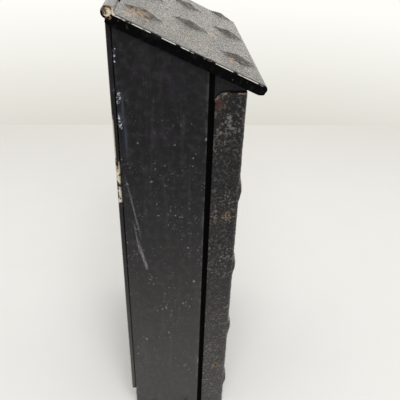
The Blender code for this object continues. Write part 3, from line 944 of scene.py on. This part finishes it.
def smooth_enamel():
    """Gloss black paint: dust and a painted floor reflection low down, with clustered specks,
    streaks and a few scratches.
    """
    m = Finish("smooth_enamel", IOR=1.345)
    # Lighter towards the bottom: dust, and a painted reflection of the bright floor
    low_down = m.step(m.axis("Z"), 0.24, -0.02)
    mottle = m.step(m.noise(0.0045, 4), 0.42, 0.78)
    streaks = m.step(m.noise(0.0030, 3, (1, 1, 14)), 0.54, 0.80)
    middle = m.both(m.step(m.axis("Z"), 0.285, 0.235), m.step(m.axis("Z"), -0.10, 0.16))
    small = m.both(m.flecks(0.0015, 0.30, 0.016), middle)
    large = m.both(m.flecks(0.0025, 0.24, 0.024), middle)
    smudges = m.step(m.noise(0.0065, 4), 0.57, 0.85)
    color = m.mix(m.step(m.noise(0.014, 4), 0.50, 0.78), BLACK, PLUM_BLACK)
    film_and_sheen = m.math("ADD", m.both(low_down, 0.16), m.both(mottle, 0.05))
    film_and_sheen = m.math("ADD", film_and_sheen, m.both(streaks, 0.06))
    film_and_sheen = m.math("ADD", film_and_sheen, m.both(smudges, 0.06))
    color = m.mix(film_and_sheen, color, DUST_AND_SHEEN)
    dots = m.either(m.both(small, 0.62), m.both(large, 0.88))
    color = m.mix(dots, color, SPECK)
    grain = m.step(m.noise(0.0014, 2), 0.40, 0.62)
    for start, end, width, strength in LEFT_SCRATCHES:
        line = m.stroke(on_left(*start), on_left(*end), width)
        color = m.mix(m.both(line, m.blend(grain, 0.35, 1.0), strength), color, SPLASH)
    for u, z in LEFT_GLINTS:
        color = m.mix(m.both(m.near(on_left(u, z), 0.0, 0.0013, (1, 1, 13)), 0.4), color, GLINT)
    broken = m.step(m.noise(0.0017, 3), 0.53, 0.62)
    for u, z, radius in LEFT_SPLASHES:
        splash = m.patch(on_left(u, z), radius, 0.0024, (1, 1, 3.5))
        color = m.mix(m.both(splash, m.blend(broken, 0.05, 0.85)), color, SPLASH)
    # Greyer along the step's bend: rubbed paint, and a painted highlight
    paled = m.both(m.wear_and_highlight(), m.step(m.noise(0.006, 3), 0.45, 0.65))
    color = m.mix(m.both(paled, 0.5), color, GRIME_AND_HIGHLIGHT)
    m.bump(m.noise(0.0018, 3), 0.00005, 0.6)
    return m.finish(color, m.blend(m.either(low_down, dots, mottle), 0.14, 0.40))


def seam_shade():
    """Painted shade: near-black, dull paint in the groove between the side and the cover."""
    m = Finish("seam_shade", IOR=1.14)
    color = m.mix(m.step(m.noise(0.004, 3), 0.62, 0.80), SEAM_BLACK, SEAM_BROWN)
    return m.finish(color, m.blend(m.noise(0.002, 2), 0.6, 0.9))


def rim_enamel():
    """Glossy black paint on the smooth turned-down rim of the lid, with a bright line along its
    bend: rubbed paint and a painted highlight.
    """
    m = Finish("rim_enamel", IOR=1.14)
    color = m.mix(m.step(m.noise(0.004, 4), 0.50, 0.75), RIM_BLACK, RIM_GREY)
    color = m.mix(m.both(m.flecks(0.0018, 0.10, 0.015), 0.12), color, DUST_AND_SHEEN)
    barrel = m.patch((-LID_HALF, HINGE.y - 0.0002, HINGE.z + 0.0008), 0.0060, 0.0020)
    color = m.mix(m.both(barrel, 0.9), color, BARREL_BROWN)
    smear = m.patch((-LID_HALF, HINGE.y - 0.0022, HINGE.z + 0.0003), 0.0036, 0.0018)
    color = m.mix(m.both(smear, 0.9), color, CREAM)
    # Painted highlight along the bend's crest, partly rubbed paint
    crest = m.both(m.step(m.wear_and_highlight(), 0.30, 0.80), m.step(m.noise(0.0045, 4), 0.44, 0.54))
    color = m.mix(m.both(crest, 0.9), color, RIM_CREST_HIGHLIGHT)
    m.bump(m.noise(0.0012, 3), 0.00005, 0.5)
    return m.finish(color, m.blend(m.noise(0.003, 3), 0.14, 0.34))


def rusted(m, color, flaked):
    """Adds the lid's and cover's rusted places to a colour."""
    spots = []
    for x, s, radius in LID_RUST:
        place = lid_surface(x, s, SHEET / 2)
        spots.append(m.patch(tuple(float(v) for v in place), radius, 0.0026))
    shade = m.mix(m.step(m.noise(0.0016, 3), 0.44, 0.56), RUST, TAN)
    color = m.mix(m.both(m.either(*spots), m.blend(flaked, 0.55, 1.0)), color, shade)
    corner = m.near(on_left(*COVER_CORNER), 0.0015, 0.0045)
    return m.mix(m.both(corner, m.blend(flaked, 0.3, 0.9)), color, CORNER_RUST)


def stud_enamel_and_shade():
    """The brown-black, less glossy faces of the lid's embossed diamonds: their own paint, and partly
    painted shade.
    """
    m = Finish("stud_enamel_and_shade", IOR=1.26)
    flaked = m.step(m.noise(0.0022, 4), 0.47, 0.60)
    # Brown-black paint on the diamonds, partly painted shade for their shaded faces
    color = m.mix(m.step(m.noise(0.0070, 4), 0.44, 0.68), STUD_BLACK, STUD_BROWN)
    color = m.mix(m.both(m.step(m.noise(0.0014, 3), 0.50, 0.66), 0.7), color, GRIME_AND_HIGHLIGHT)
    color = rusted(m, color, flaked)
    m.bump(m.noise(0.0011, 3), 0.00008, 0.5)
    return m.finish(color, m.blend(flaked, 0.28, 0.50))


def hammered_enamel():
    """Black paint over hammered sheet: grime on its ridges, rubbed paint and a painted highlight on
    its edges.
    """
    m = Finish("hammered_enamel", IOR=1.39)
    wide = m.noise(0.024, 3)
    ridges = m.ridges(0.0033, 0.15)
    broken = m.step(m.noise(0.0024, 3), 0.46, 0.60)
    color = m.mix(m.step(m.noise(0.009, 4), 0.45, 0.72), BLACK, BROWN_BLACK)
    grime = m.either(m.both(ridges, broken, 0.65), m.both(m.flecks(0.0018, 0.60, 0.010), 0.9))
    grime = m.both(grime, m.blend(m.step(wide, 0.36, 0.62), 0.45, 1.0))
    color = m.mix(grime, color, RIDGE)
    on_lid = m.step(m.axis("Z"), COVER_TOP, COVER_TOP + 0.002)
    dusty = m.both(on_lid, m.step(m.noise(0.0015, 5), 0.38, 0.68))
    color = m.mix(m.both(dusty, m.blend(m.step(wide, 0.35, 0.60), 0.45, 0.85)), color, LID_DUST)
    warm = m.near([float(v) for v in lid_surface(*LID_WARM_PLACE, 0)], 0.004, 0.026)
    color = m.mix(m.both(warm, m.step(m.noise(0.0021, 4), 0.48, 0.60), 0.42), color, TAN)
    dark = m.both(on_lid, m.step(m.noise(0.0060, 4), 0.54, 0.68))
    color = m.mix(m.both(dark, 0.45), color, BROWN_BLACK)
    # Lighter towards the bottom: dust, and a painted reflection of the bright floor
    low_down = m.step(m.axis("Z"), 0.20, -0.02)
    color = m.mix(m.both(low_down, 0.14), color, DUST_AND_SHEEN)
    brown = m.both(m.step(m.noise(0.004, 4), 0.58, 0.70), m.step(wide, 0.48, 0.66))
    color = m.mix(m.both(brown, 0.5), color, RUST)
    flaked = m.step(m.noise(0.0022, 4), 0.47, 0.60)
    color = rusted(m, color, flaked)
    for z in COVER_RIVET_HEIGHTS:
        halo = m.patch(on_left(COVER_RIVET_DEPTH, z), 0.0058, 0.0022)
        color = m.mix(m.both(halo, flaked, 0.40), color, TAN)
    # Paler along the cover's top edge: rubbed paint, and a painted highlight
    paled = m.both(m.step(m.wear_and_highlight(), 0.0, 1.0), m.step(m.noise(0.0030, 4), 0.42, 0.56))
    color = m.mix(m.both(paled, 0.75), color, BARE_AND_HIGHLIGHT)
    m.bump(m.either(ridges, m.noise(0.0018, 3)), 0.00060, 1.0)
    return m.finish(color, m.blend(m.either(grime, paled), 0.20, 0.50))


def back_enamel():
    """Duller black paint, with wall paint left along the side edges."""
    m = Finish("back_enamel", IOR=1.36)
    color = m.mix(m.step(m.noise(0.012, 3), 0.45, 0.75), BLACK, PLUM_BLACK)
    fine, wide = m.noise(0.006, 4), m.noise(0.045, 2)
    paled = m.both(m.step(fine, 0.58, 0.74), m.step(wide, 0.45, 0.62), 0.16)
    color = m.mix(paled, color, DUST_AND_SHEEN)
    # Lighter towards the bottom, as on the side panels: dust, and a painted reflection of the floor
    color = m.mix(m.both(m.step(m.axis("Z"), 0.22, 0.0), 0.20), color, DUST_AND_SHEEN)
    height = m.axis("Z")
    rear = m.step(m.axis("Y"), depth_y(0.0013), depth_y(0.0004))
    thin = m.both(rear, m.step(height, 0.236, 0.241), m.step(height, 0.268, 0.262))
    thin = m.both(thin, m.step(m.noise(0.0040, 3), 0.36, 0.44))
    deeper = m.step(m.axis("Y"), depth_y(0.0034), depth_y(0.0016))
    thick = m.both(m.step(height, 0.205, 0.210), m.step(height, 0.240, 0.233), deeper)
    thick = m.both(thick, m.step(m.noise(0.0045, 4, (1, 1, 1.5)), 0.44, 0.52))
    at_left = m.step(m.axis("X"), 0.0042 - SIDE_X, 0.0018 - SIDE_X)
    paint = m.both(m.either(thin, thick), at_left)
    stain = m.mix(m.step(m.noise(0.0030, 3), 0.50, 0.65), CREAM, WALL_STAIN)
    color = m.mix(paint, color, stain)
    m.bump(m.noise(0.0020, 3), 0.00008, 0.6)
    return m.finish(color, m.blend(m.either(paled, paint), 0.26, 0.62))


def rivet_enamel():
    """A painted rivet head whose middle has rusted through."""
    m = Finish("rivet_enamel")
    grit = m.noise(0.0009, 3)
    color = m.mix(m.step(grit, 0.42, 0.60), BLACK, BROWN_BLACK)
    color = m.mix(m.both(m.step(grit, 0.50, 0.62), 0.8), color, TAN)
    m.bump(grit, 0.00010, 0.8)
    return m.finish(color, m.blend(grit, 0.35, 0.7))


def wall_paint():
    """Old cream wall paint, stained at its edges."""
    m = Finish("wall_paint")
    color = m.mix(m.step(m.noise(0.0020, 4), 0.44, 0.58), CREAM, PAINT_STAIN)
    bared = m.patch((PAINT_X, HINGE.y + 0.0022, HINGE.z + 0.0009), 0.0042, 0.0016)
    color = m.mix(m.both(bared, 0.9), color, PAINT_GAP)
    m.bump(m.noise(0.0007, 3), 0.00012, 0.7)
    return m.finish(color, m.blend(m.noise(0.0015, 2), 0.5, 0.8))


def pin_steel():
    """Dull wire with some rust."""
    m = Finish("pin_steel", Metallic=1.0)
    color = m.mix(m.step(m.noise(0.002, 3), 0.4, 0.7), STEEL, STEEL_RUST)
    m.bump(m.noise(0.0008, 2, (8, 1, 1)), 0.00004, 0.6)
    return m.finish(color, m.blend(m.noise(0.003, 2), 0.3, 0.6))


def floor_paper():
    """A pale table, darker where it runs out from under the light."""
    m = Finish("floor_paper")
    color = m.mix(m.noise(0.05, 5), PAPER, PAPER_LIGHT)
    color = m.mix(m.step(m.axis("X"), 0.20, 0.52), color, PAPER_FAR)
    color = m.mix(m.step(m.axis("X"), -0.14, -0.62), color, PAPER_NEAR)
    m.bump(m.noise(0.0015, 3), 0.00006, 0.3)
    return m.finish(color, m.blend(m.noise(0.02, 2), 0.8, 0.9))


# Stage --------------------------------------------------------------------------------------

CAMERA_PLACE = (-0.3298, 0.0106, 0.3733)
CAMERA_FORWARD = (0.8390, -0.0640, -0.5404)
CAMERA_ROLL = math.radians(1.89)
CAMERA_LENS = 43.2
# Name, place, aim, size, power and sometimes colour of each soft light
LIGHTS = (
    ("window", (-0.75, -0.05, 1.15), (0, 0, 0.05), 0.9, 7.6),
    ("lamp", (-0.55, -0.15, 1.20), (0, 0, 0.2), 0.18, 0.9),
    ("bright_wall", (1.7, -0.2, 0.70), (0, 0, 0.3), 1.6, 3.6, (1.0, 0.94, 0.85)),
)
FLOOR_CORNERS = ((-2.4, -2.4), (0.5135, -2.4), (0.5135, 2.4), (-2.4, 2.4))


def add_camera():
    camera = bpy.data.objects.new("camera", bpy.data.cameras.new("camera"))
    camera.data.lens = CAMERA_LENS
    camera.location = CAMERA_PLACE
    camera.rotation_mode = "QUATERNION"
    level = Vector(CAMERA_FORWARD).to_track_quat("-Z", "Y")
    camera.rotation_quaternion = level @ Quaternion((0, 0, 1), CAMERA_ROLL)
    bpy.context.scene.collection.objects.link(camera)
    bpy.context.scene.camera = camera


def add_floor():
    mesh = bpy.data.meshes.new("floor")
    mesh.from_pydata([(x, y, 0.0) for x, y in FLOOR_CORNERS], [], [(0, 1, 2, 3)])
    mesh.materials.append(floor_paper())
    floor = bpy.data.objects.new("floor", mesh)
    bpy.context.scene.collection.objects.link(floor)


def add_area_light(name, place, aim, size, power, color=(1, 1, 1)):
    light = bpy.data.lights.new(name, "AREA")
    light.shape = "DISK"
    light.size = size
    light.energy = power
    light.color = color
    obj = bpy.data.objects.new(name, light)
    obj.location = place
    obj.rotation_mode = "QUATERNION"
    obj.rotation_quaternion = (Vector(aim) - Vector(place)).to_track_quat("-Z", "Y")
    obj.visible_camera = False
    bpy.context.scene.collection.objects.link(obj)


def add_room():
    """A pale room: brightest behind the box, dimmer behind the camera."""
    world = bpy.data.worlds.new("room")
    world.use_nodes = True
    tree = world.node_tree
    background = tree.nodes["Background"]
    split = tree.nodes.new("ShaderNodeSeparateXYZ")
    tree.links.new(tree.nodes.new("ShaderNodeTexCoord").outputs["Generated"], split.inputs[0])
    wall = tree.nodes.new("ShaderNodeValToRGB")
    stops = wall.color_ramp.elements
    stops[0].position, stops[0].color = 0.29, (0.690, 0.678, 0.600, 1)
    stops[1].position, stops[1].color = 0.41, (1.0, 0.990, 0.950, 1)
    height = tree.nodes.new("ShaderNodeMapRange")
    height.inputs["From Min"].default_value = -1.0
    height.inputs["From Max"].default_value = 1.0
    tree.links.new(split.outputs["Z"], height.inputs["Value"])
    tree.links.new(height.outputs["Result"], wall.inputs["Fac"])
    side = tree.nodes.new("ShaderNodeMapRange")
    side.inputs["From Min"].default_value = -0.6
    side.inputs["From Max"].default_value = 0.6
    side.inputs["To Min"].default_value = 0.40
    side.inputs["To Max"].default_value = 1.0
    tree.links.new(split.outputs["X"], side.inputs["Value"])
    tree.links.new(wall.outputs["Color"], background.inputs["Color"])
    tree.links.new(side.outputs["Result"], background.inputs["Strength"])
    bpy.context.scene.world = world


def main():
    add_camera()
    add_room()
    add_floor()
    for light in LIGHTS:
        add_area_light(*light)
    hammer, stud = hammered_enamel(), stud_enamel_and_shade()
    smooth, seam = smooth_enamel(), seam_shade()
    build_lid(hammer, stud, rim_enamel())
    build_cover(hammer, stud, seam)
    build_side(-1, "left", smooth, seam)
    build_side(1, "right", smooth, seam)
    build_back(back_enamel())
    build_bore_paint(wall_paint())
    rivet, steel = rivet_enamel(), pin_steel()
    finishes = {"bottom_pan": smooth, "hinge_pin": steel}
    for name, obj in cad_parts.items():
        if not obj.hide_render:
            obj.data.materials.clear()
            obj.data.materials.append(finishes.get(name, rivet))
    bpy.context.scene.view_settings.view_transform = "Standard"


main()
